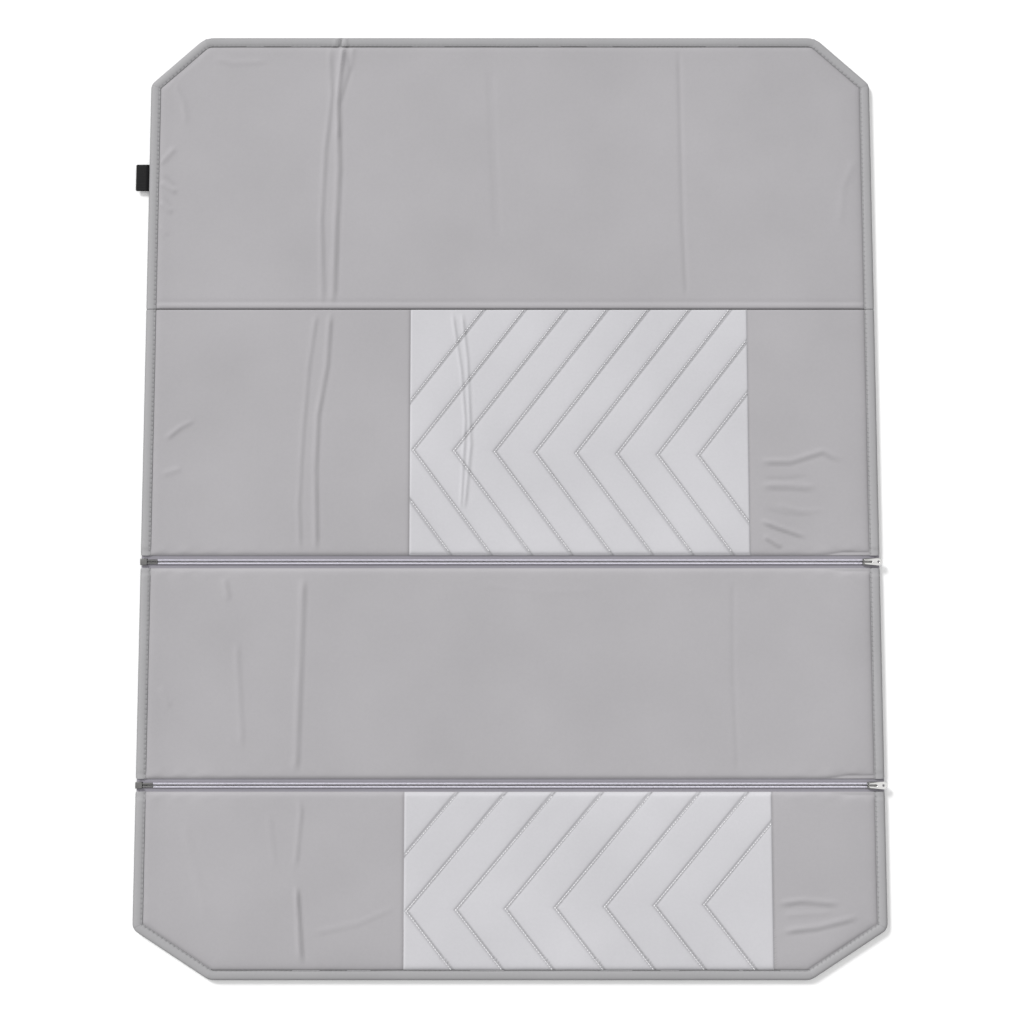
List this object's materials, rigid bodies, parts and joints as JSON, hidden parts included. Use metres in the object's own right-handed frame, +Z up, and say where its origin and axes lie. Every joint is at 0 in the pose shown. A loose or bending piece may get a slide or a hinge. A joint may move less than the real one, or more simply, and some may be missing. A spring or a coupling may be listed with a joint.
{
  "type": "fold-out kneeling pad",
  "caption": "Thin padded grey kneeling pad with cut-off corners, quilted insets, a fold seam and zips that join its panels, folding up into a stack.",
  "frame": {"origin": "the middle of the opened-out pad on its underside, which lies on panel 2's base cover", "axes": "+X to the right across the pad, +Y along it towards the plain end panel, +Z up out of the working face"},
  "size_m": [0.715, 0.9, 0.0074],
  "materials": {
    "grey_cover": "satin",
    "grey_binding": "satin",
    "light_insert": "satin",
    "pad_foam": "matte",
    "zip_tape": "matte",
    "zip_coil": "satin",
    "zip_metal": "polished",
    "side_tab": "matte"
  },
  "bodies": {
    "panel_2": {"panel_2_top_cover_left": "grey_cover", "panel_2_quilted_insert": "light_insert", "panel_2_top_cover_right": "grey_cover", "panel_2_base_cover": "grey_cover", "panel_2_foam_core": "pad_foam", "panel_2_wadding": "pad_foam", "panel_2_binding_left": "grey_binding", "panel_2_binding_right": "grey_binding", "zip_1_rear_tape_hem": "zip_tape"},
    "panel_1": {"panel_1_top_cover": "grey_cover", "panel_1_base_cover": "grey_cover", "panel_1_foam_core": "pad_foam", "panel_1_binding": "grey_binding", "panel_1_side_tab": "side_tab"},
    "panel_3": {"panel_3_top_cover": "grey_cover", "panel_3_base_cover": "grey_cover", "panel_3_foam_core": "pad_foam", "panel_3_binding_left": "grey_binding", "panel_3_binding_right": "grey_binding", "zip_1_front_tape_hem": "zip_tape", "zip_2_rear_tape_hem": "zip_tape"},
    "panel_4": {"panel_4_top_cover_left": "grey_cover", "panel_4_quilted_insert": "light_insert", "panel_4_top_cover_right": "grey_cover", "panel_4_base_cover": "grey_cover", "panel_4_foam_core": "pad_foam", "panel_4_wadding": "pad_foam", "panel_4_binding": "grey_binding", "zip_2_front_tape_hem": "zip_tape"},
    "zip_1_strip": {"zip_1_rear_tape": "zip_tape", "zip_1_front_tape": "zip_tape", "zip_1_rear_coil": "zip_coil", "zip_1_front_coil": "zip_coil", "zip_1_insertion_pin": "zip_metal", "zip_1_retainer_pin": "zip_metal", "zip_1_retainer_box": "zip_metal", "zip_1_rear_top_stop": "zip_metal", "zip_1_front_top_stop": "zip_metal"},
    "zip_1_slider": {"zip_1_slider": "zip_metal"},
    "zip_1_pull_tab": {"zip_1_pull_tab": "zip_metal"},
    "zip_2_strip": {"zip_2_rear_tape": "zip_tape", "zip_2_front_tape": "zip_tape", "zip_2_rear_coil": "zip_coil", "zip_2_front_coil": "zip_coil", "zip_2_insertion_pin": "zip_metal", "zip_2_retainer_pin": "zip_metal", "zip_2_retainer_box": "zip_metal", "zip_2_rear_top_stop": "zip_metal", "zip_2_front_top_stop": "zip_metal"},
    "zip_2_slider": {"zip_2_slider": "zip_metal"},
    "zip_2_pull_tab": {"zip_2_pull_tab": "zip_metal"}
  },
  "joints": [
    {"name": "fold_seam", "type": "hinge", "parent": "panel_1", "child": "panel_2", "pos_m": [0, 0.18, 0.0071], "axis": [-1, 0, 0], "range_deg": [0, 180]},
    {"name": "zip_1_rear_fold", "type": "hinge", "parent": "panel_2", "child": "zip_1_strip", "pos_m": [0, -0.0575, 0.003], "axis": [1, 0, 0], "range_deg": [0, 90]},
    {"name": "zip_1_front_fold", "type": "hinge", "parent": "zip_1_strip", "child": "panel_3", "pos_m": [0, -0.0685, 0.003], "axis": [1, 0, 0], "range_deg": [0, 90]},
    {"name": "zip_2_rear_fold", "type": "hinge", "parent": "panel_3", "child": "zip_2_strip", "pos_m": [0, -0.2665, 0.003], "axis": [-1, 0, 0], "range_deg": [0, 90]},
    {"name": "zip_2_front_fold", "type": "hinge", "parent": "zip_2_strip", "child": "panel_4", "pos_m": [0, -0.2775, 0.003], "axis": [-1, 0, 0], "range_deg": [0, 90]},
    {"name": "zip_1_slider_travel", "type": "slide", "parent": "zip_1_strip", "child": "zip_1_slider", "axis": [1, 0, 0], "range_m": [-0.6766, 0]},
    {"name": "zip_1_pull_tilt", "type": "hinge", "parent": "zip_1_slider", "child": "zip_1_pull_tab", "pos_m": [0.3354, -0.063, 0.00625], "axis": [0, -1, 0], "range_deg": [0, 180]},
    {"name": "zip_2_slider_travel", "type": "slide", "parent": "zip_2_strip", "child": "zip_2_slider", "axis": [1, 0, 0], "range_m": [-0.6766, 0]},
    {"name": "zip_2_pull_tilt", "type": "hinge", "parent": "zip_2_slider", "child": "zip_2_pull_tab", "pos_m": [0.3354, -0.272, 0.00625], "axis": [0, -1, 0], "range_deg": [0, 180]}
  ],
  "couplings": [
    {"joint": "zip_1_front_fold", "follows": "zip_1_rear_fold", "ratio": 1},
    {"joint": "zip_2_front_fold", "follows": "zip_2_rear_fold", "ratio": 1}
  ]
}
